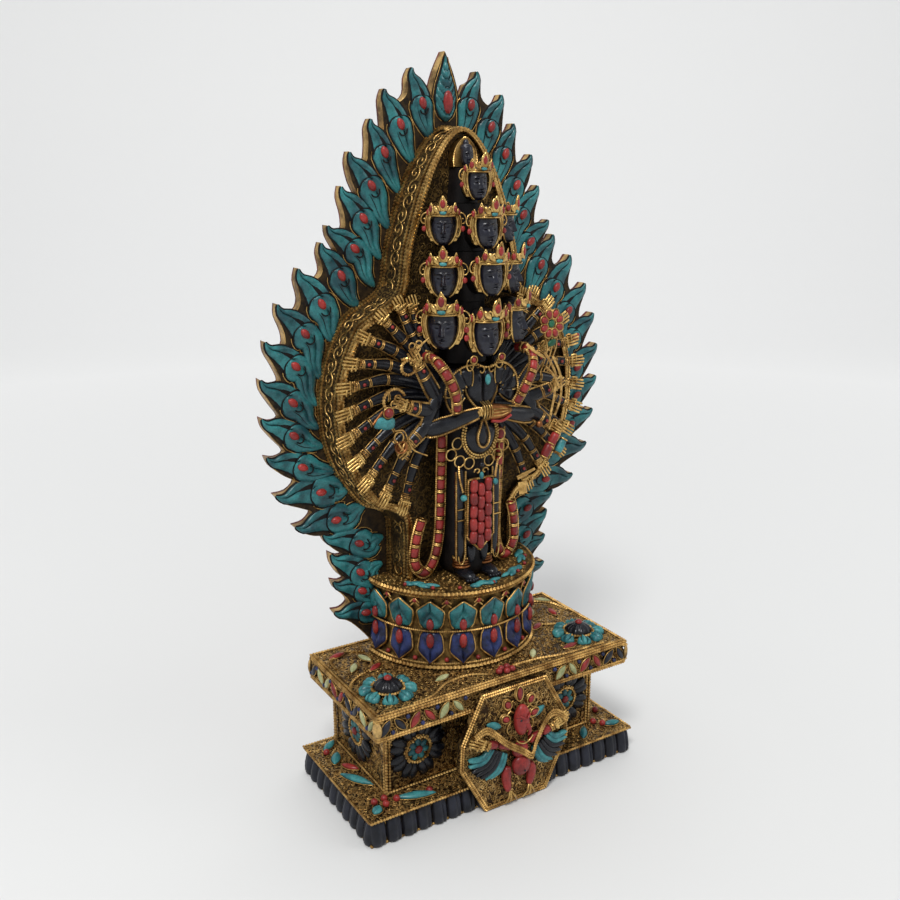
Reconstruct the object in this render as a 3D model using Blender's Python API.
"""Standing eleven-headed, many-armed figure before a flame halo, on a half lotus and a throne.

Units are metres. +X is the viewer's right, -Y is the front, +Z is up. The origin is the middle of
the throne's underside. The throne has its own sizes. The figure, its shrine and the flames are
free forms: they keep their proportions and follow HALO_RISE alone, and their places are drawn in
the millimetres that they measure when HALO_RISE is DRAWN_RISE.
"""

import math

import bmesh
import bpy
from mathutils import Matrix, Vector

MM = 0.001
GAP = 0.0003
OVERLAP = 0.0008

FOOT_LENGTH = 0.2016
FOOT_DEPTH = 0.0980
FOOT_HEIGHT = 0.0174
FOOT_SLOPE = 0.0033
FOOT_REED_LENGTH = 0.0134
FOOT_REED_DEPTH = 0.0101
REED_BULGE = 0.0020

WAIST_LENGTH = 0.1560
WAIST_FRONT = 0.0270
WAIST_BACK = 0.0440
WAIST_HEIGHT = 0.0496
WAIST_POST = 0.0060
WAIST_POST_PROUD = 0.0008
WAIST_FLOWER_RADIUS = 0.0125
WAIST_FLOWER_PROUD = 0.0020

TABLE_LENGTH = 0.1860
TABLE_DEPTH = 0.0915
TABLE_HEIGHT = 0.0160
TABLE_BEAD = 0.0010

ROSETTE_RADIUS = 0.0175
ROSETTE_HEIGHT = 0.0075
ROSETTE_FROM_END = 0.0203
ROSETTE_FROM_FRONT = 0.0246

PANEL_THICKNESS = 0.0036
PANEL_BELOW_TABLE_TOP = 0.0040
PANEL_TOP_WIDTH = 0.0486
PANEL_SIDE_WIDTH = 0.0820
PANEL_FOOT_WIDTH = 0.0470
PANEL_FLOOR_CLEARANCE = 0.0005

LOTUS_HALF_WIDTH = 0.0585
LOTUS_DEPTH = 0.0585
LOTUS_HEIGHT = 0.0522
LOTUS_RIM_HEIGHT = 0.0030
LOTUS_WAIST_INSET = 0.0040
LOTUS_PETALS = 9
PETAL_PROUD = 0.0028

HALO_PLATE_FRONT = 0.0310
HALO_PLATE_THICKNESS = 0.0075
HALO_RISE = 0.3143
DRAWN_RISE = 314.3
DRAWN_BASE = 135.5
FLAME_PROUD = 0.0022
SHRINE_DEPTH = 0.0190
SHRINE_RECESS = 0.0030
SHRINE_WALL_SLOPE = 0.0040
SHRINE_RIM = 0.0034

FOOT_TOP = FOOT_HEIGHT
WAIST_BASE = FOOT_TOP + GAP
WAIST_TOP = WAIST_BASE + WAIST_HEIGHT - 2 * GAP
TABLE_BASE = WAIST_TOP + GAP
TABLE_TOP = TABLE_BASE + TABLE_HEIGHT
LOTUS_BASE = TABLE_TOP + GAP
LOTUS_TOP = LOTUS_BASE + LOTUS_HEIGHT
SCALE = HALO_RISE / (DRAWN_RISE * MM)
SHRINE_BACK = HALO_PLATE_FRONT - GAP
SHRINE_FRONT = SHRINE_BACK - SHRINE_DEPTH
SHRINE_GROUND = SHRINE_FRONT + SHRINE_RECESS
FIGURE_BACK = SHRINE_GROUND - GAP
DRAWN_BACK = 14.7

TURQUOISE = (0.035, 0.20, 0.21, 1.0)
CORAL = (0.42, 0.045, 0.035, 1.0)
GOLD = (0.50, 0.30, 0.08, 1.0)
BLACK_STONE = (0.018, 0.020, 0.026, 1.0)
LAPIS = (0.025, 0.035, 0.13, 1.0)

# One flame a row, from beside the top flame down: tip across, tip height, root across, root height
FLAMES = (
    (22.0, 439.8, 16.3, 419.0),
    (40.0, 427.6, 30.8, 407.0),
    (49.2, 411.2, 41.6, 391.6),
    (63.2, 393.2, 50.0, 373.0),
    (69.0, 374.4, 55.6, 355.0),
    (78.2, 352.9, 61.4, 338.5),
    (82.4, 343.5, 70.8, 323.2),
    (97.0, 329.8, 83.6, 307.6),
    (110.6, 310.6, 94.3, 291.6),
    (119.0, 290.0, 100.8, 273.6),
    (122.9, 268.6, 103.4, 252.6),
    (123.4, 246.0, 103.6, 233.2),
    (121.6, 222.6, 98.8, 213.6),
    (117.4, 198.6, 87.0, 196.8),
    (106.0, 177.0, 78.0, 177.6),
    (88.0, 168.6, 63.0, 158.6),
    (83.0, 155.0, 63.0, 138.8),
    (82.2, 136.4, 62.0, 126.4),
    (82.2, 115.8, 59.6, 111.4),
)


def carved(x, y, z):
    """A place on the figure, from drawn millimetres; the back stays on the shrine's ground."""
    return Vector((x * MM * SCALE,
                   FIGURE_BACK - (DRAWN_BACK - y) * MM * SCALE,
                   LOTUS_TOP + (z - DRAWN_BASE) * MM * SCALE))


def span(length):
    """A length on the figure, from drawn millimetres."""
    return length * MM * SCALE


def halo(x, z, y):
    """A place on the halo, drawn across and up, at the depth y in metres."""
    place = carved(x, 0.0, z)
    return Vector((place.x, y, max(place.z, TABLE_TOP + GAP)))


def clear_scene():
    """Remove the objects that the scene starts with."""
    for item in list(bpy.data.objects):
        bpy.data.objects.remove(item, do_unlink=True)


def make_finish(name, colour, roughness, metallic):
    """A Principled material with one colour, roughness and metallic value."""
    material = bpy.data.materials.new(name)
    material.use_nodes = True
    shader = material.node_tree.nodes["Principled BSDF"]
    shader.inputs["Base Color"].default_value = colour
    shader.inputs["Roughness"].default_value = roughness
    shader.inputs["Metallic"].default_value = metallic
    return material


def object_from_bmesh(name, shape):
    """A new object in the tool collection that holds this shape, its faces turned outward."""
    bmesh.ops.recalc_face_normals(shape, faces=shape.faces)
    mesh = bpy.data.meshes.new(name)
    shape.to_mesh(mesh)
    shape.free()
    item = bpy.data.objects.new(name, mesh)
    TOOLS.objects.link(item)
    return item


def loft(name, rings):
    """A closed solid through rings of equally many points, with flat ends."""
    shape = bmesh.new()
    rows = [[shape.verts.new(point) for point in ring] for ring in rings]
    count = len(rows[0])
    for lower, upper in zip(rows, rows[1:]):
        for i in range(count):
            j = (i + 1) % count
            shape.faces.new((lower[i], lower[j], upper[j], upper[i]))
    shape.faces.new(rows[0])
    shape.faces.new(rows[-1])
    return object_from_bmesh(name, shape)


def box(name, low, high):
    """A box between two corners."""
    shape = bmesh.new()
    bmesh.ops.create_cube(shape, size=1.0)
    low = Vector(low)
    high = Vector(high)
    for vert in shape.verts:
        vert.co = Vector([low[i] + (vert.co[i] + 0.5) * (high[i] - low[i]) for i in range(3)])
    return object_from_bmesh(name, shape)


def ball(name, centre, radii, turn=None, rings=5, segments=8):
    """An ellipsoid with these half axes, turned by a matrix before it is placed."""
    shape = bmesh.new()
    bmesh.ops.create_uvsphere(shape, u_segments=segments, v_segments=rings, radius=1.0)
    turn = turn or Matrix.Identity(3)
    for vert in shape.verts:
        vert.co = Vector(centre) + turn @ Vector([vert.co[i] * radii[i] for i in range(3)])
    return object_from_bmesh(name, shape)


def mesh_from_curve(item):
    """Turn a curve object into a closed mesh object and remove the curve."""
    graph = bpy.context.evaluated_depsgraph_get()
    mesh = bpy.data.meshes.new_from_object(item.evaluated_get(graph))
    shape = bmesh.new()
    shape.from_mesh(mesh)
    bmesh.ops.remove_doubles(shape, verts=shape.verts, dist=1e-6)
    place = item.matrix_world.copy()
    name = item.name
    bpy.data.objects.remove(item, do_unlink=True)
    bpy.data.meshes.remove(mesh)
    made = object_from_bmesh(name, shape)
    made.matrix_world = place
    return made


def rod(name, points, radii, rounding=1):
    """A tube through these points, with a radius at each, made from a poly curve."""
    curve = bpy.data.curves.new(name, "CURVE")
    curve.dimensions = "3D"
    curve.bevel_depth = 1.0
    curve.bevel_resolution = rounding
    curve.use_fill_caps = True
    spline = curve.splines.new("POLY")
    spline.points.add(len(points) - 1)
    for knot, point, radius in zip(spline.points, points, radii):
        knot.co = (*point, 1.0)
        knot.radius = radius
    item = bpy.data.objects.new(name, curve)
    TOOLS.objects.link(item)
    return mesh_from_curve(item)


def fuse(name, pieces, finish, cut=None):
    """Join overlapping pieces into one closed solid, and cut away what the cutter reaches."""
    base = pieces[0]
    base.name = name
    group = bpy.data.collections.new(name + "_pieces")
    bpy.context.scene.collection.children.link(group)
    for piece in pieces[1:]:
        group.objects.link(piece)
    if len(pieces) > 1:
        join = base.modifiers.new("join", "BOOLEAN")
        join.operation = "UNION"
        join.operand_type = "COLLECTION"
        join.collection = group
        join.solver = "EXACT"
        join.use_self = True
    for cutter in cut or ():
        groove = base.modifiers.new("cut", "BOOLEAN")
        groove.operation = "DIFFERENCE"
        groove.object = cutter
        groove.solver = "EXACT"
    graph = bpy.context.evaluated_depsgraph_get()
    mesh = bpy.data.meshes.new_from_object(base.evaluated_get(graph))
    bpy.data.collections.remove(group)
    for piece in pieces:
        bpy.data.objects.remove(piece, do_unlink=True)
    for cutter in cut or ():
        bpy.data.objects.remove(cutter, do_unlink=True)
    shape = bmesh.new()
    shape.from_mesh(mesh)
    bmesh.ops.remove_doubles(shape, verts=shape.verts, dist=2e-6)
    bmesh.ops.dissolve_degenerate(shape, dist=1e-6, edges=shape.edges)
    bmesh.ops.dissolve_limit(shape, angle_limit=math.radians(0.2), use_dissolve_boundaries=False,
                             verts=shape.verts, edges=shape.edges)
    bmesh.ops.triangulate(shape, faces=shape.faces)
    shape.to_mesh(mesh)
    shape.free()
    mesh.name = name
    mesh.materials.clear()
    mesh.materials.append(finish)
    mesh.set_sharp_from_angle(angle=math.radians(40))
    item = bpy.data.objects.new(name, mesh)
    PARTS.objects.link(item)
    return item


def reeded_outline(half_length, front, back, across, deep, bulge):
    """The throne foot's outline: reeds as shallow arches on three sides, with a straight back."""
    corners = [Vector((-half_length, back)), Vector((-half_length, -front)),
               Vector((half_length, -front)), Vector((half_length, back))]
    points = []
    for start, end, reeds in zip(corners, corners[1:], (deep, across, deep)):
        run = (end - start) / reeds
        outward = Vector((run.y, -run.x)).normalized() * bulge
        for reed in range(reeds):
            first = start + run * reed
            points.append(first)
            points.append(first + run * 0.25 + outward * 0.85)
            points.append(first + run * 0.75 + outward * 0.85)
    points.append(corners[-1])
    return points


def build_throne_foot():
    """The foot: a slab whose front and ends are reeds that slope outward to the ground."""
    across = max(3, round(FOOT_LENGTH / FOOT_REED_LENGTH))
    deep = max(3, round(FOOT_DEPTH / FOOT_REED_DEPTH))
    rings = []
    for height in (0.0, 1.0):
        inset = REED_BULGE + FOOT_SLOPE * height
        outline = reeded_outline(FOOT_LENGTH / 2 - inset, FOOT_DEPTH / 2 - inset, FOOT_DEPTH / 2,
                                 across, deep, REED_BULGE * (1.0 - 0.7 * height))
        rings.append([(p.x, p.y, FOOT_HEIGHT * height) for p in outline])
    return fuse("throne_foot", [loft("foot", rings)], LAPIS_FINISH)


def lobed_disc(name, centre, radius, rise, turn, lobes=8, dome=0.42, points=2):
    """A flower in low relief: scalloped petals round a raised dome, built up along local Z."""
    rings = []
    levels = ((-OVERLAP, 1.0), (rise * 0.35, 1.0), (rise * 0.8, 0.55))
    for height, share in levels:
        ring = []
        for i in range(lobes * points):
            angle = 2 * math.pi * i / (lobes * points)
            notch = 0.80 if i % points == 0 else 1.0
            reach = radius * share * (notch if share > 0.7 else 1.0)
            ring.append(centre + turn @ Vector((reach * math.cos(angle),
                                                reach * math.sin(angle), height)))
        rings.append(ring)
    half_dome = rise * 0.75
    knob = ball(name + "_dome", centre + turn @ Vector((0, 0, half_dome - OVERLAP)),
                (radius * dome, radius * dome, half_dome), turn, rings=4, segments=6)
    return [loft(name, rings), knob]


def build_throne_waist():
    """The waist block with a post at each corner and a flower on each face that shows."""
    half = WAIST_LENGTH / 2
    low = Vector((-half, -WAIST_FRONT, WAIST_BASE))
    high = Vector((half, WAIST_BACK, WAIST_TOP))
    pieces = [box("waist", low, high)]
    for x in (-1, 1):
        for y in (-WAIST_FRONT, WAIST_BACK):
            inward = 1 if y < 0 else -1
            corner_x = x * (half + WAIST_POST_PROUD)
            corner_y = y - inward * WAIST_POST_PROUD
            other_x = corner_x - x * WAIST_POST
            other_y = corner_y + inward * WAIST_POST
            pieces.append(box("post", (min(corner_x, other_x), min(corner_y, other_y), WAIST_BASE),
                              (max(corner_x, other_x), max(corner_y, other_y), WAIST_TOP)))
    middle = (WAIST_BASE + WAIST_TOP) / 2
    flower_x = (PANEL_SIDE_WIDTH / 2 + half) / 2 - WAIST_POST / 2
    forward = Matrix.Rotation(math.radians(90), 3, "X")
    for side in (-1, 1):
        pieces += lobed_disc("front_flower", Vector((side * flower_x, -WAIST_FRONT, middle)),
                             WAIST_FLOWER_RADIUS, WAIST_FLOWER_PROUD, forward)
        sideways = Matrix.Rotation(math.radians(90 * side), 3, "Y")
        centre = Vector((side * half, (WAIST_BACK - WAIST_FRONT) / 2, middle))
        pieces += lobed_disc("end_flower", centre, WAIST_FLOWER_RADIUS * 1.2,
                             WAIST_FLOWER_PROUD, sideways)
    return fuse("throne_waist", pieces, GOLD_FINISH)


def build_throne_table():
    """The table slab, with a beaded edge above and below its band of set stones."""
    rings = []
    bead = TABLE_BEAD
    levels = ((0.0, bead), (bead, 0.0), (3 * bead, 0.0), (3.6 * bead, bead),
              (TABLE_HEIGHT - 3.6 * bead, bead), (TABLE_HEIGHT - 3 * bead, 0.0),
              (TABLE_HEIGHT - bead, 0.0), (TABLE_HEIGHT, bead))
    for height, inset in levels:
        x = TABLE_LENGTH / 2 - inset
        y = TABLE_DEPTH / 2 - inset
        z = TABLE_BASE + height
        rings.append([(-x, -y, z), (x, -y, z), (x, y, z), (-x, y, z)])
    return fuse("throne_table", [loft("table", rings)], GOLD_FINISH)


def build_rosette(side, name):
    """A turquoise flower with a fluted dome, set on the table's front corner."""
    centre = Vector((side * (TABLE_LENGTH / 2 - ROSETTE_FROM_END),
                     ROSETTE_FROM_FRONT - TABLE_DEPTH / 2, TABLE_TOP + GAP + OVERLAP))
    pieces = lobed_disc(name, centre, ROSETTE_RADIUS, ROSETTE_HEIGHT * 0.5, Matrix.Identity(3))
    bead = ball("bead", centre + Vector((0, 0, ROSETTE_HEIGHT * 0.70)),
                (ROSETTE_HEIGHT * 0.3,) * 3, rings=4, segments=6)
    return fuse(name, pieces + [bead], TURQUOISE_FINISH)


PANEL_TOP = TABLE_TOP - PANEL_BELOW_TABLE_TOP
PANEL_BACK_TOP = -(TABLE_DEPTH / 2 + GAP)
PANEL_BACK_FOOT = -(FOOT_DEPTH / 2 + 3 * GAP)


def on_panel(x, z, proud=0.0):
    """A place on the leaning panel's front, proud of it by a distance in metres."""
    share = (z - PANEL_FLOOR_CLEARANCE) / (PANEL_TOP - PANEL_FLOOR_CLEARANCE)
    back = PANEL_BACK_FOOT + (PANEL_BACK_TOP - PANEL_BACK_FOOT) * share
    return Vector((x, back - PANEL_THICKNESS - proud, z))


def panel_share(x, z, proud=0.0):
    """A place on the panel's front, from shares of its half width and its height."""
    height = PANEL_FLOOR_CLEARANCE + (PANEL_TOP - PANEL_FLOOR_CLEARANCE) * z
    return on_panel(x * PANEL_SIDE_WIDTH / 2, height, proud)


def build_panel():
    """The leaning front panel: a flat plate with six sides, widest below its middle."""
    top = PANEL_TOP_WIDTH / PANEL_SIDE_WIDTH
    foot = PANEL_FOOT_WIDTH / PANEL_SIDE_WIDTH
    outline = ((-foot, 0.0), (foot, 0.0), (1.0, 0.42), (0.97, 0.63), (top, 1.0),
               (-top, 1.0), (-0.97, 0.63), (-1.0, 0.42))
    front = [panel_share(x, z) for x, z in outline]
    back = [point + Vector((0, PANEL_THICKNESS, 0)) for point in front]
    return fuse("front_panel", [loft("panel", [back, front])], GOLD_FINISH)


def build_garuda():
    """The bird-man on the panel: crowned head with a beak, arms raised, wings spread, clawed legs."""
    rest = GAP
    unit = PANEL_SIDE_WIDTH / 82.0

    def blob(name, x, z, across, deep, tall):
        centre = panel_share(x, z, rest + deep * unit)
        turn = Matrix.Rotation(math.radians(9), 3, "Y")
        return ball(name, centre, (across * unit, deep * unit, tall * unit), turn,
                    rings=4, segments=6)

    pieces = [blob("belly", 0.0, 0.37, 5.0, 3.0, 8.5),
              blob("chest", 0.0, 0.52, 6.5, 2.7, 6.5),
              blob("head", 0.02, 0.685, 4.6, 3.3, 5.4),
              blob("crown", 0.01, 0.81, 4.2, 2.2, 5.0),
              blob("jewel", 0.0, 0.93, 2.2, 1.6, 4.6)]
    spine = [panel_share(0.0, share, rest + 2.0 * unit) for share in (0.5, 0.70, 0.93)]
    pieces.append(rod("spine", spine, (2.4 * unit, 2.2 * unit, 1.2 * unit)))
    beak = [panel_share(0.03, 0.68, rest + 4.6 * unit), panel_share(0.05, 0.61, rest + 6.6 * unit)]
    pieces.append(rod("beak", beak, (1.8 * unit, 0.5 * unit)))
    for side in (-1, 1):
        arm = [panel_share(side * 0.1, 0.56, rest + 2.6 * unit),
               panel_share(side * 0.5, 0.50, rest + 2.6 * unit),
               panel_share(side * 0.84, 0.70, rest + 2.6 * unit)]
        pieces.append(rod("arm", arm, (2.3 * unit, 2.0 * unit, 2.2 * unit)))
        leg = [panel_share(side * 0.08, 0.32, rest + 2.6 * unit),
               panel_share(side * 0.30, 0.22, rest + 2.4 * unit),
               panel_share(side * 0.17, 0.12, rest + 2.2 * unit)]
        pieces.append(rod("leg", leg, (2.4 * unit, 2.0 * unit, 1.8 * unit)))
        feathers = []
        for i in range(4):
            angle = math.radians(14 + 34 * i)
            for spread, reach in ((-11, 0.66), (0, 0.80)):
                turn = angle + math.radians(spread)
                x = side * (0.10 + reach * math.cos(turn) * 0.98)
                feathers.append((x, 0.56 - reach * math.sin(turn) * 0.50))
        outline = [(side * 0.06, 0.60), (side * 0.45, 0.62)] + feathers + [(side * 0.04, 0.28)]
        low = [panel_share(x, z, rest) for x, z in outline]
        high = [panel_share(x, z, rest + 1.6 * unit) for x, z in outline]
        pieces.append(loft("wing", [low, high]))
    return fuse("garuda", pieces, CORAL_FINISH)


def half_oval(half_width, depth, z, points=15):
    """A half oval in plan whose straight back lies along the halo plate."""
    back = HALO_PLATE_FRONT - GAP
    ring = []
    for i in range(points + 1):
        angle = math.pi * i / points
        ring.append((-half_width * math.cos(angle), back - depth * math.sin(angle), z))
    return ring


def lotus_petal(name, angle, root_z, tip_z, width, reach):
    """One petal against the lotus body: pointed, ribbed down its middle and bulging outward."""
    back = HALO_PLATE_FRONT - GAP
    ring = []
    ridge = []
    for share, across, proud in ((0.0, 0.42, 0.2), (0.55, 0.48, 1.0), (1.0, 0.0, 0.6)):
        z = root_z + (tip_z - root_z) * share
        ring.append((across * width, z, reach * proud * 0.55))
        ridge.append((z, reach * proud))
    centre = Vector((-math.cos(angle) * (LOTUS_HALF_WIDTH - LOTUS_WAIST_INSET),
                     back - math.sin(angle) * (LOTUS_DEPTH - LOTUS_WAIST_INSET), 0))
    outward = Vector((-math.cos(angle) * LOTUS_DEPTH, -math.sin(angle) * LOTUS_HALF_WIDTH, 0))
    outward.normalize()
    along = Vector((-outward.y, outward.x, 0))
    shape = bmesh.new()
    rows = []
    for (half, z, proud), (_, rise) in zip(ring, ridge):
        place = centre + Vector((0, 0, z))
        sunk = place - outward * 2.0 * OVERLAP
        if half > 0:
            rows.append([shape.verts.new(sunk - along * half),
                         shape.verts.new(place - along * half + outward * proud),
                         shape.verts.new(place + outward * rise),
                         shape.verts.new(place + along * half + outward * proud),
                         shape.verts.new(sunk + along * half)])
        else:
            tip = (shape.verts.new(sunk), shape.verts.new(place + outward * rise))
    for low, high in zip(rows, rows[1:]):
        for i in range(5):
            j = (i + 1) % 5
            shape.faces.new((low[i], low[j], high[j], high[i]))
    shape.faces.new(rows[0])
    last = rows[-1]
    shape.faces.new((last[4], last[0], tip[0]))
    shape.faces.new((last[0], last[1], tip[1], tip[0]))
    shape.faces.new((last[1], last[2], tip[1]))
    shape.faces.new((last[2], last[3], tip[1]))
    shape.faces.new((last[3], last[4], tip[0], tip[1]))
    return object_from_bmesh(name, shape)


def build_lotus():
    """The half lotus: a waisted drum between two rims, petals up above and petals down below."""
    rim = LOTUS_RIM_HEIGHT
    inset = LOTUS_WAIST_INSET
    middle = LOTUS_HEIGHT * 0.47
    levels = ((0.0, rim * 0.2), (rim * 0.5, 0.0), (rim, rim * 0.2), (rim * 1.4, inset),
              (middle - rim * 0.5, inset), (middle, inset * 0.6), (middle + rim * 0.5, inset),
              (LOTUS_HEIGHT - rim * 1.4, inset), (LOTUS_HEIGHT - rim, rim * 0.2),
              (LOTUS_HEIGHT - rim * 0.5, 0.0), (LOTUS_HEIGHT, rim * 0.2))
    rings = []
    for height, step in levels:
        rings.append(half_oval(LOTUS_HALF_WIDTH - step, LOTUS_DEPTH - step, LOTUS_BASE + height))
    pieces = [loft("drum", rings)]
    width = math.pi * (LOTUS_HALF_WIDTH + LOTUS_DEPTH) / 2 / LOTUS_PETALS * 0.92
    for i in range(LOTUS_PETALS):
        angle = math.pi * (i + 0.5) / LOTUS_PETALS
        pieces.append(lotus_petal("upper_petal", angle, LOTUS_BASE + middle + rim * 0.6,
                                  LOTUS_TOP - rim * 1.9, width, PETAL_PROUD))
        pieces.append(lotus_petal("lower_petal", angle, LOTUS_BASE + middle - rim * 0.6,
                                  LOTUS_BASE + rim * 1.5, width, PETAL_PROUD))
    return fuse("lotus_pedestal", pieces, GOLD_FINISH)


def flame_frame(flame, side):
    """A flame's root, its run from root to tip, and the direction of its upper side."""
    tip = Vector((side * flame[0], flame[1]))
    root = Vector((side * flame[2], flame[3]))
    run = tip - root
    upper = Vector((run.y, -run.x)) if side < 0 else Vector((-run.y, run.x))
    return root, run, upper


def side_outline(side):
    """The plate's edge down one side: each flame's notch, hollow, tip, back and belly."""
    points = []
    shape = ((0.57, 0.23), (0.74, 0.04), (1.0, 0.0), (0.80, -0.19), (0.42, -0.33))
    for flame in FLAMES:
        root, run, upper = flame_frame(flame, side)
        points += [root + run * along + upper * across for along, across in shape]
    points.append(Vector((side * 57.7, 91.7)))
    points.append(Vector((side * 52.0, 80.0)))
    return points


def flame_inlay(flame, side):
    """One carved flame on the plate: a curled tongue with a ridge, and a tail towards the rim."""
    root, run, upper = flame_frame(flame, side)
    outline = ((0.93, -0.01), (0.66, -0.01), (0.14, 0.31), (-0.62, 0.04),
               (-0.20, -0.22), (0.30, -0.28), (0.76, -0.14))
    ridge = ((0.62, -0.09), (0.0, 0.03))
    owners = (0, 0, 1, 1, 1, 0, 0)
    sunk = HALO_PLATE_FRONT + OVERLAP
    edge = HALO_PLATE_FRONT - FLAME_PROUD * 0.45
    crest = HALO_PLATE_FRONT - FLAME_PROUD
    shape = bmesh.new()

    def places(pairs, depth):
        spots = [root + run * along + upper * across for along, across in pairs]
        return [shape.verts.new(halo(spot.x, spot.y, depth)) for spot in spots]

    low = places(outline, sunk)
    high = places(outline, edge)
    top = places(ridge, crest)
    count = len(outline)
    shape.faces.new(low)
    for i in range(count):
        j = (i + 1) % count
        shape.faces.new((low[i], low[j], high[j], high[i]))
        shape.faces.new((high[i], high[j], top[owners[i]]))
        if owners[i] != owners[j]:
            shape.faces.new((high[j], top[owners[j]], top[owners[i]]))
    return object_from_bmesh("flame", shape)


def shrine_half_outline():
    """The shrine's right edge in drawn millimetres, from its foot up to its point."""
    points = [(44.0, DRAWN_BASE + 0.3), (44.0, 171.0), (50.0, 179.0)]
    for i in range(13):
        angle = math.radians(-46 + 82 * i / 12)
        points.append((88.5 * math.cos(angle), 247.5 + 88.5 * math.sin(angle)))
    points += [(62.0, 306.0), (52.0, 311.5), (45.6, 319.0), (42.6, 338.0), (38.0, 354.0),
               (32.0, 372.0), (23.0, 388.5), (12.0, 402.0)]
    return points


INSET_EASE = 34.0


def inset_outline(points, distance):
    """Move a closed outline inward, by less near its peak and only along the ground at its foot."""
    moved = []
    count = len(points)
    peak = max(z for _, z in points)
    for i in range(count):
        before = Vector(points[i - 1])
        here = Vector(points[i])
        near_peak = max(0.0, 1.0 - (peak - here.y) / INSET_EASE)
        after = Vector(points[(i + 1) % count])
        first = (here - before).normalized()
        second = (after - here).normalized()
        inward = Vector((-first.y - second.y, first.x + second.x)).normalized()
        eased = distance * (1.0 - 0.66 * near_peak)
        stretch = eased / max(0.5, inward.dot(Vector((-first.y, first.x))))
        spot = here + inward * stretch
        lowest = DRAWN_BASE + 0.3
        moved.append((spot.x, max(lowest, spot.y) if here.y > lowest + 0.1 else lowest))
    return moved


def shrine_outline():
    """The shrine's whole edge in drawn millimetres, from its right foot round to its left foot."""
    right = shrine_half_outline()
    return right + [(0.0, 408.0)] + [(-x, z) for x, z in reversed(right)]


def flame_clearance():
    """Cutters that keep the carved flames clear of the shrine and the lotus in front of them."""
    back = HALO_PLATE_FRONT - GAP / 3
    front = HALO_PLATE_FRONT - 3 * FLAME_PROUD
    grown = inset_outline(shrine_outline(), -GAP / MM)
    rings = []
    for depth in (back, front):
        rings.append([halo(x, z - (2.0 if i in (0, len(grown) - 1) else 0.0), depth)
                      for i, (x, z) in enumerate(grown)])
    lotus = box("lotus_room", (-LOTUS_HALF_WIDTH - GAP, front, TABLE_TOP - OVERLAP),
                (LOTUS_HALF_WIDTH + GAP, back, LOTUS_TOP + GAP))
    return [loft("shrine_room", rings), lotus]


def build_halo_plate():
    """The halo's plate with its flamed edge, the carved flames and the upright top flame."""
    crown = [(-9.6, 419.5), (-9.2, 427.0), (-5.4, 439.0), (0.0, 449.8),
             (5.4, 439.0), (9.2, 427.0), (9.6, 419.5)]
    outline = [Vector(p) for p in crown]
    outline += side_outline(1)
    outline += reversed(side_outline(-1))
    front = [halo(p.x, p.y, HALO_PLATE_FRONT) for p in outline]
    back = [halo(p.x, p.y, HALO_PLATE_FRONT + HALO_PLATE_THICKNESS) for p in outline]
    pieces = [loft("plate", [back, front])]
    for side in (-1, 1):
        for flame in FLAMES:
            pieces.append(flame_inlay(flame, side))
    bud = ((0.0, 446.0), (3.4, 436.0), (6.8, 425.0), (5.4, 414.0), (0.0, 410.5),
           (-5.4, 414.0), (-6.8, 425.0), (-3.4, 436.0))
    rings = []
    for depth, share in ((HALO_PLATE_FRONT + OVERLAP, 1.0),
                         (HALO_PLATE_FRONT - FLAME_PROUD * 0.4, 1.0),
                         (HALO_PLATE_FRONT - FLAME_PROUD, 0.45)):
        rings.append([halo(x * share, 426.0 + (z - 426.0) * share, depth) for x, z in bud])
    pieces.append(loft("bud", rings))
    return fuse("flame_halo", pieces, TURQUOISE_FINISH, cut=flame_clearance())


def build_shrine():
    """The raised shrine behind the figure: sloping walls, a front rim and a recessed ground."""
    whole = shrine_outline()
    slope = SHRINE_WALL_SLOPE / MM
    rim = slope + SHRINE_RIM / MM
    base = LOTUS_TOP + GAP

    def ring(outline, depth):
        places = [halo(x, z, depth) for x, z in outline]
        return [(p.x, p.y, max(p.z, base)) for p in places]

    middle_line = inset_outline(whole, slope)
    inner_line = inset_outline(whole, rim)
    # The ground is open at the foot, where the figure stands on the lotus
    solid = loft("wall", [ring(whole, SHRINE_BACK), ring(middle_line, SHRINE_FRONT)])
    low = ring(inner_line, SHRINE_FRONT - OVERLAP)
    high = ring(inner_line, SHRINE_GROUND)
    drop = 4 * OVERLAP
    for loop in (low, high):
        for index in (0, len(loop) - 1):
            loop[index] = (loop[index][0], loop[index][1], base - drop)
    hollow = loft("hollow", [low, high])
    return fuse("halo_shrine", [solid], GOLD_FINISH, cut=[hollow])


def oval_ring(half, front, z, points=12, back=DRAWN_BACK):
    """A horizontal section of the body: an oval in front, straight along the back."""
    ring = []
    for i in range(points + 1):
        angle = math.pi * i / points
        depth = back - (back - front) * math.sin(angle) ** 0.8
        ring.append(carved(-half * math.cos(angle), depth, z))
    return ring


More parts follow.
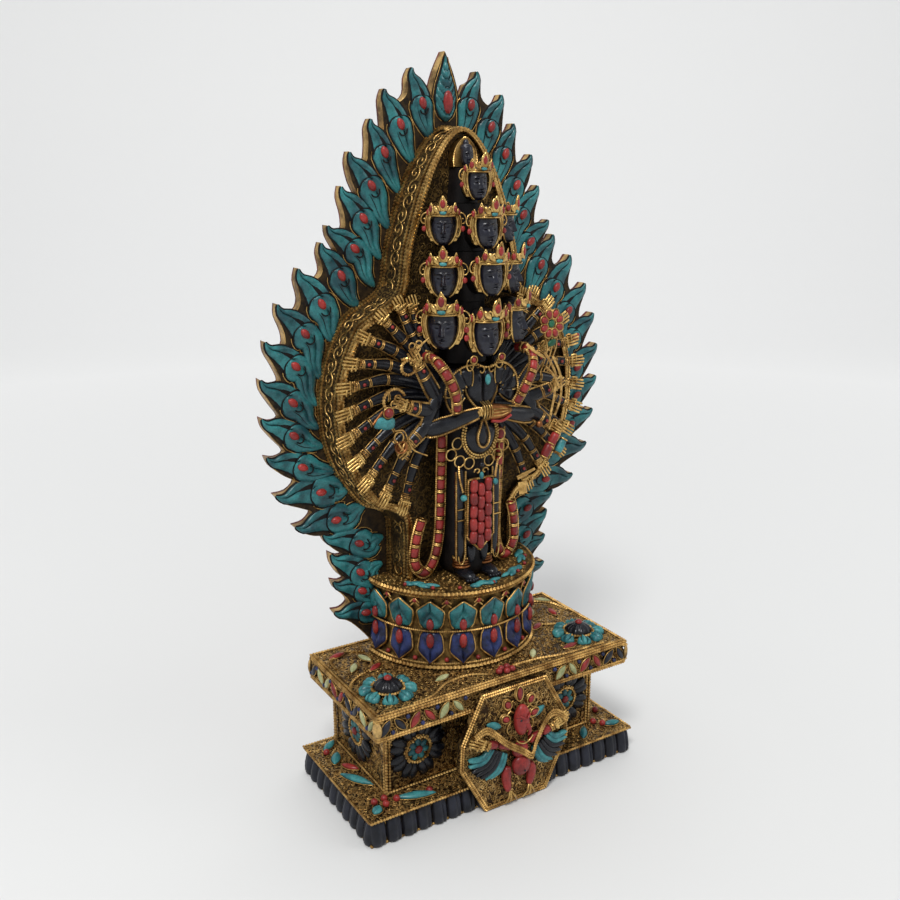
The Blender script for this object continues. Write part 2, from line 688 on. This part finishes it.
def build_body():
    """The standing body: skirted legs, belly, chest, shoulders and neck, with the two feet."""
    sections = ((138.6, 14.5, -8.0), (150.0, 15.8, -9.6), (196.0, 17.0, -8.2),
                (214.0, 17.2, -8.4), (237.0, 15.0, -6.6), (256.0, 17.4, -9.4),
                (267.0, 15.4, -7.6), (271.6, 7.0, -5.0))
    pieces = [loft("torso", [oval_ring(half, front, z, points=10)
                             for z, half, front in sections])]
    for side in (-1, 1):
        centre = carved(side * 9.0, -7.0, 139.4)
        pieces.append(ball("foot", centre, (span(4.2), span(9.0), span(3.5))))
        fold = [carved(side * 12.0, -4.6, 208.0), carved(side * 12.5, -5.6, 146.0)]
        pieces.append(rod("fold", fold, (span(2.2), span(3.0))))
        shoulder = [carved(side * 7.0, -7.4, 262.0), carved(side * 14.0, -6.0, 262.0)]
        pieces.append(rod("shoulder", shoulder, (span(4.0), span(5.2))))
    pieces.append(ball("belly", carved(0, -6.0, 228.0), (span(11.0), span(3.6), span(11.0))))
    return fuse("figure_body", pieces, STONE_FINISH)


FACE_RING = ((0, 1.0), (26, 0.93), (70, 1.0), (125, 1.0), (180, 1.0), (235, 1.0), (290, 1.0),
             (334, 0.93))
FACE_LEVELS = ((0.0, 0.22, 0.34, 0.34), (0.16, 0.38, 0.54, 0.50), (0.36, 0.47, 0.68, 0.50),
               (0.60, 0.50, 0.58, 0.50), (1.0, 0.42, 0.46, 0.42))


CROWN_RISE = (0.70, 0.45, 1.0, 0.45, 0.70)
CROWN_STEP = 44


def head_pieces(nose, height, turn_deg, lean=0.0):
    """A face with a nose ridge and a five-pointed crown, from the place of its nose."""
    turn = Matrix.Rotation(math.radians(turn_deg), 3, "Z")
    width = height * 0.72
    centre = Vector((nose[0], nose[1], nose[2])) - turn @ Vector((0, -width * 0.62, 0))

    def place(x, y, z):
        local = turn @ Vector((x, y, 0))
        return carved(centre.x + local.x, centre.y + local.y, nose[2] - height * 0.5 + z)

    rings = []
    for share, half, front, back in FACE_LEVELS:
        ring = []
        for degrees, reach in FACE_RING:
            angle = math.radians(degrees)
            forward = math.cos(angle)
            deep = front if forward > 0 else back
            cheek = 0.86 if 0 < min(degrees, 360 - degrees) < 40 and forward > 0 else 1.0
            ring.append(place(width * half * math.sin(angle) * reach,
                              -width * deep * forward * cheek, height * share))
        rings.append(ring)
    pieces = [loft("face", rings)]
    behind = carved(centre.x * 0.55, 9.0, nose[2] - height * 0.2)
    pieces.append(rod("hair", [carved(centre.x, centre.y, nose[2] - height * 0.1), behind],
                      (span(width * 0.40), span(width * 0.44)), rounding=0))
    tall = height * 0.52
    outer = []
    inner = []
    for i, share in enumerate(CROWN_RISE):
        angle = math.radians(CROWN_STEP * (i - 2))
        rise = share * tall
        for shelf, radius in ((outer, width * 0.60), (inner, width * 0.38)):
            flare = 1.0 + 0.16 * rise / tall
            foot = place(radius * math.sin(angle), -radius * 1.12 * math.cos(angle), height * 0.86)
            head = place(radius * flare * math.sin(angle),
                         -radius * 1.12 * flare * math.cos(angle) - lean * rise / tall,
                         height * 0.86 + rise)
            shelf.append((foot, head))
    shape = bmesh.new()
    rows = []
    for (foot_out, head_out), (foot_in, head_in) in zip(outer, inner):
        rows.append([shape.verts.new(p) for p in (foot_out, head_out, head_in, foot_in)])
    for first, second in zip(rows, rows[1:]):
        for i in range(4):
            j = (i + 1) % 4
            shape.faces.new((first[i], first[j], second[j], second[i]))
    shape.faces.new(rows[0])
    shape.faces.new(rows[-1])
    pieces.append(object_from_bmesh("crown", shape))
    return pieces


def tier_core(low, high, half_low, half_high, front):
    """The dark mass of hair that carries one tier of heads."""
    return loft("hair", [oval_ring(half_low, front, low, points=8),
                         oval_ring(half_high, front, high, points=8)])


def build_head_tier(name, low, high, half, front, faces):
    """One tier of heads on its mass of hair."""
    pieces = [tier_core(low, high, half[0], half[1], front)]
    for nose, height, turn, lean in faces:
        pieces += head_pieces(nose, height, turn, lean)
    return fuse(name, pieces, STONE_FINISH)


def build_heads():
    """The eleven heads: three tiers of three, the fierce head and the small top head."""
    build_head_tier("heads_low", 271.9, 308.4, (20.0, 16.5), -3.0,
                    (((0.0, -17.0, 289.0), 20.0, 0, 3.0),
                     ((-26.0, -10.2, 291.6), 18.5, -38, 0.0),
                     ((26.0, -10.2, 291.6), 18.5, 38, 0.0)))
    build_head_tier("heads_middle", 308.7, 337.4, (18.0, 15.0), -4.0,
                    (((0.0, -19.4, 321.4), 18.0, 0, 1.5),
                     ((-23.6, -8.0, 320.4), 17.0, -36, 0.0),
                     ((23.6, -8.0, 320.4), 17.0, 36, 0.0)))
    build_head_tier("heads_high", 337.7, 364.6, (16.0, 12.0), -2.0,
                    (((0.0, -15.2, 349.9), 16.6, 0, 1.5),
                     ((-21.6, -4.4, 349.4), 15.6, -34, 0.0),
                     ((21.6, -4.4, 349.4), 15.6, 34, 0.0)))
    build_head_tier("head_wrathful", 364.9, 384.4, (12.0, 9.0), 2.0,
                    (((0.0, -6.6, 374.4), 14.6, 0, 1.0),))
    top = oval_ring(8.0, 6.0, 384.7, points=8)
    middle = oval_ring(8.6, 5.0, 392.0, points=8)
    tip = oval_ring(2.0, 10.0, 401.6, points=8)
    face = ball("face", carved(0, 7.0, 392.6), (span(4.6), span(5.2), span(6.4)))
    knot = ball("knot", carved(0, 9.0, 398.4), (span(2.6), span(2.6), span(3.2)))
    fuse("head_top", [loft("plate", [top, middle, tip]), face, knot], STONE_FINISH)


def arm_with_hand(name, points, radii, tip, hand_width, hand_thickness):
    """A five-sided arm that flattens past the wrist into an open hand."""
    rings = []
    face = Vector((0, -1, 0))
    last = len(points) - 1
    end = (tip - points[last]).normalized()
    for i, (point, radius) in enumerate(zip(points, radii)):
        along = (points[min(i + 1, last)] - points[max(i - 1, 0)]).normalized()
        across = along.cross(face).normalized()
        out = across.cross(along).normalized()
        rings.append([point + (across * math.cos(a) + out * math.sin(a)) * radius
                      for a in [2 * math.pi * k / 5 for k in range(5)]])
    across = end.cross(face).normalized()
    out = across.cross(end).normalized()
    reach = (tip - points[last]).length
    for share, half in ((0.35, 0.5), (1.0, 0.40)):
        middle = points[last] + end * reach * share
        flat = ((1, 0), (0.7, 1), (-0.85, 1), (-0.85, -1), (0.7, -1))
        rings.append([middle + across * a * hand_width * half + out * b * hand_thickness * 0.5
                      for a, b in flat])
    return loft(name, rings)


FAN_CENTRE = 247.0
FAN_TIPS = ((40.5, 314.0), (50.0, 314.0), (62.5, 306.5), (75.5, 294.5), (84.5, 279.0),
            (89.5, 264.0), (90.0, 247.5), (89.5, 231.5), (82.5, 216.5), (76.0, 202.0),
            (63.0, 190.0), (48.5, 182.0))


def build_arm_fan(side, name):
    """The rear fan of twelve arms on one side, curved out from the shoulder to open hands."""
    root = [carved(side * 20.7, 8.6, FAN_CENTRE - 16.0), carved(side * 20.7, 8.6, FAN_CENTRE + 24.0)]
    pieces = [rod("root", root, (span(2.9), span(2.9)))]
    for x, z in FAN_TIPS:
        tip = Vector((side * x, 5.0, z))
        spread = math.atan2(z - FAN_CENTRE, x)
        start = Vector((side * 20.6, 8.6, FAN_CENTRE + 4.0 + 19.0 * math.sin(spread)))
        run = tip - start
        bow = Vector((side * 0.06 * abs(run.z), 0.0, 0.10 * abs(run.x) * math.cos(spread)))
        middle = start + run * 0.48 + bow
        wrist = start + run * 0.82 + bow * 0.25
        points = [carved(*p) for p in (start, middle, wrist)]
        pieces.append(arm_with_hand("arm", points, (span(2.3), span(3.2), span(2.5)),
                                    carved(*tip), span(8.4), span(3.4)))
    return fuse(name, pieces, STONE_FINISH)


def build_front_arms(side, name):
    """The main arm bent to the breast and the three arms held out before the fan."""
    start = (side * 21.5, -5.0, 262.0)
    elbow = (side * 38.0, -9.6, 236.6)
    meet = (side * (GAP / MM + 0.75), -14.8, 245.0)
    main = [carved(*start), carved(side * 35.0, -8.0, 246.0), carved(*elbow),
            carved(side * 20.0, -12.6, 240.6), carved(*meet)]
    pieces = [rod("main", main, (span(4.0), span(4.8), span(4.9), span(4.6), span(3.3)), rounding=2)]
    reaches = (((31.0, -7.0, 256.0), (43.6, -10.4, 275.6), (50.0, -12.4, 286.0)),
               ((34.0, -8.0, 247.0), (50.6, -11.0, 252.6), (61.0, -11.6, 257.0)),
               ((36.0, -8.6, 241.0), (49.6, -10.0, 230.4), (59.0, -12.4, 224.4)))
    for begin, wrist, tip in reaches:
        points = [carved(side * p[0], p[1], p[2]) for p in (begin, wrist)]
        end = carved(side * tip[0], tip[1], tip[2])
        pieces.append(arm_with_hand("forearm", points, (span(4.2), span(3.2)), end,
                                    span(8.2), span(4.0)))
    return fuse(name, pieces, STONE_FINISH)


def smooth_path(points, steps):
    """Points along a smooth curve that passes through the given points."""
    path = []
    count = len(points)
    for i in range(count - 1):
        before = points[max(0, i - 1)]
        first = points[i]
        second = points[i + 1]
        after = points[min(count - 1, i + 2)]
        for step in range(steps):
            t = step / steps
            path.append(0.5 * ((2 * first) + (second - before) * t
                               + (2 * before - 5 * first + 4 * second - after) * t * t
                               + (3 * first - before - 3 * second + after) * t ** 3))
    path.append(points[-1])
    return path


def build_scarves(side, word):
    """The coral scarves of one side: the arc over the shoulder and the long fall to the lotus."""
    arc = ((32.5, 1.5, 278.5), (33.6, -12.0, 278.0), (30.4, -20.4, 270.0), (25.2, -21.0, 259.0),
           (21.0, -16.4, 247.2))
    path = smooth_path([carved(side * x, y, z) for x, y, z in arc], 2)
    fuse("shoulder_scarf_" + word, [rod("scarf", path, [span(2.7)] * len(path))], CORAL_FINISH)
    fall = ((21.4, 1.0, 229.0), (21.2, 2.6, 200.0), (21.2, 4.6, 168.0), (23.6, 6.4, 149.0),
            (30.4, 7.6, 139.2), (37.4, 7.4, 148.0), (36.6, 6.2, 164.0), (33.2, 5.0, 177.0))
    path = smooth_path([carved(side * x, y, z) for x, y, z in fall], 2)
    fuse("long_scarf_" + word, [rod("scarf", path, [span(2.9)] * len(path))], CORAL_FINISH)


APRON_COLUMNS = 3
APRON_ROWS = 5


def build_apron():
    """The beaded apron: columns of long coral beads on a pointed backing."""
    def lean(z):
        return -8.7 - (201.6 - z) * 0.05

    outline = ((-8.8, 201.6), (-9.4, 165.0), (0.0, 156.6), (9.4, 165.0), (8.8, 201.6))
    back = [carved(x, lean(z), z) for x, z in outline]
    front = [carved(x, lean(z) - 1.2, z) for x, z in outline]
    pieces = [loft("backing", [back, front])]
    for column in range(APRON_COLUMNS):
        x = (column - (APRON_COLUMNS - 1) / 2) * 5.6
        top = 200.6 if x else 199.0
        string = []
        for row in range(APRON_ROWS):
            string += [(top - 8.0 * row, 1.4), (top - 8.0 * row - 4.0, 2.7)]
        string.append((top - 8.0 * APRON_ROWS, 1.5))
        path = [carved(x, lean(z) - 2.9, z) for z, _ in string]
        pieces.append(rod("beads", path, [span(radius) for _, radius in string], rounding=0))
    return fuse("coral_apron", pieces, CORAL_FINISH)


def build_flower():
    """The small lotus held up in the figure's upper left hand: petals round a green middle."""
    centre = carved(52.0, -15.9, 290.0)
    turn = Matrix.Rotation(math.radians(78), 3, "X")
    pieces = lobed_disc("flower", centre, span(7.4), span(3.4), turn)
    return fuse("lotus_flower", pieces, CORAL_FINISH)


clear_scene()
PARTS = bpy.data.collections.new("avalokiteshvara_statue")
TOOLS = bpy.data.collections.new("working_shapes")
for holder in (PARTS, TOOLS):
    bpy.context.scene.collection.children.link(holder)
TURQUOISE_FINISH = make_finish("turquoise", TURQUOISE, 0.45, 0.0)
CORAL_FINISH = make_finish("coral", CORAL, 0.35, 0.0)
GOLD_FINISH = make_finish("gilt_filigree", GOLD, 0.42, 0.9)
STONE_FINISH = make_finish("black_stone", BLACK_STONE, 0.35, 0.0)
LAPIS_FINISH = make_finish("lapis", LAPIS, 0.4, 0.0)

build_throne_foot()
build_throne_waist()
build_throne_table()
build_rosette(-1, "rosette_left")
build_rosette(1, "rosette_right")
build_panel()
build_garuda()
build_lotus()
build_halo_plate()
build_shrine()
build_body()
build_heads()
build_arm_fan(-1, "arm_fan_left")
build_arm_fan(1, "arm_fan_right")
build_front_arms(-1, "front_arms_left")
build_front_arms(1, "front_arms_right")
build_scarves(-1, "left")
build_scarves(1, "right")
build_apron()
build_flower()
